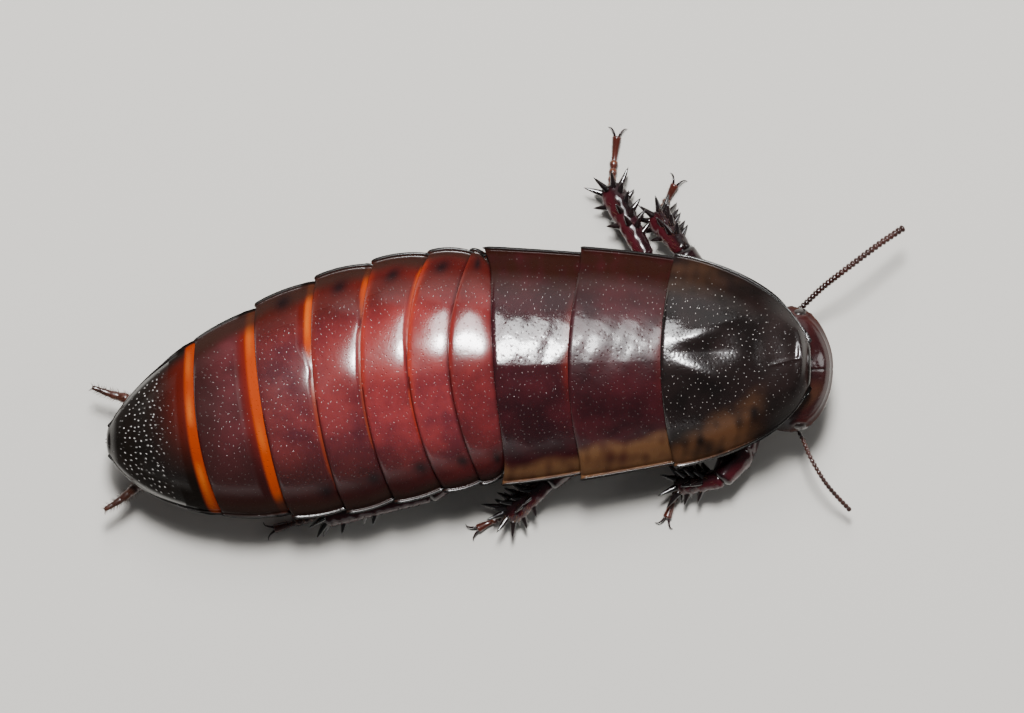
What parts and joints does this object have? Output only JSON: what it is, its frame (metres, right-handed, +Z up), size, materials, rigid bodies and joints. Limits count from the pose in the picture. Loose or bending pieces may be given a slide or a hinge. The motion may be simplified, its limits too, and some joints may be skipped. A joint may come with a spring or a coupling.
{
  "type": "brown-hooded cockroach",
  "caption": "Life-size still model of a wingless brown-hooded cockroach standing on spiny legs, with domed back plates, short beaded feelers and short cerci.",
  "frame": {"origin": "centre of the whole model's box, on the floor that its feet stand on", "axes": "+X towards the head, +Y to the animal's left, +Z up out of its back"},
  "size_m": [0.0302, 0.0152, 0.0062],
  "materials": {
    "pronotum_shell": "glossy near-black cuticle, finely punctured",
    "thorax_shell": "glossy dark maroon cuticle with brown flanks",
    "abdomen_shell": "glossy translucent wine-red cuticle",
    "tail_shell": "glossy black cuticle, coarsely punctured",
    "underside": "satin reddish-brown cuticle",
    "head": "glossy chestnut cuticle",
    "eye": "black faceted eye, satin",
    "mouthparts": "satin brown cuticle",
    "feeler": "satin dark chestnut beads",
    "leg": "glossy dark maroon cuticle with thorns",
    "foot": "satin reddish-brown cuticle",
    "cercus": "bristly reddish-brown cuticle"
  },
  "bodies": {
    "root": {"head": "head", "eye_left": "eye", "eye_right": "eye", "labrum": "mouthparts", "labium": "mouthparts", "mandible_left": "mouthparts", "mandible_right": "mouthparts", "palp_left": "mouthparts", "palp_right": "mouthparts", "antenna_left": "feeler", "antenna_right": "feeler", "pronotum": "pronotum_shell", "mesonotum": "thorax_shell", "metanotum": "thorax_shell", "prosternum": "underside", "mesosternum": "underside", "metasternum": "underside", "tergite_1": "abdomen_shell", "tergite_2": "abdomen_shell", "tergite_3": "abdomen_shell", "tergite_4": "abdomen_shell", "tergite_5": "abdomen_shell", "tergite_6": "tail_shell", "tergite_7": "tail_shell", "sternite_1": "underside", "sternite_2": "underside", "sternite_3": "underside", "sternite_4": "underside", "sternite_5": "underside", "sternite_6": "underside", "sternite_7": "underside", "cercus_left": "cercus", "cercus_right": "cercus", "leg_fore_left_coxa": "leg", "leg_fore_left_femur": "leg", "leg_fore_left_tibia": "leg", "leg_fore_left_tarsus": "foot", "leg_fore_right_coxa": "leg", "leg_fore_right_femur": "leg", "leg_fore_right_tibia": "leg", "leg_fore_right_tarsus": "foot", "leg_mid_left_coxa": "leg", "leg_mid_left_femur": "leg", "leg_mid_left_tibia": "leg", "leg_mid_left_tarsus": "foot", "leg_mid_right_coxa": "leg", "leg_mid_right_femur": "leg", "leg_mid_right_tibia": "leg", "leg_mid_right_tarsus": "foot", "leg_hind_left_coxa": "leg", "leg_hind_left_femur": "leg", "leg_hind_left_tibia": "leg", "leg_hind_left_tarsus": "foot", "leg_hind_right_coxa": "leg", "leg_hind_right_femur": "leg", "leg_hind_right_tibia": "leg", "leg_hind_right_tarsus": "foot"}
  },
  "joints": []
}
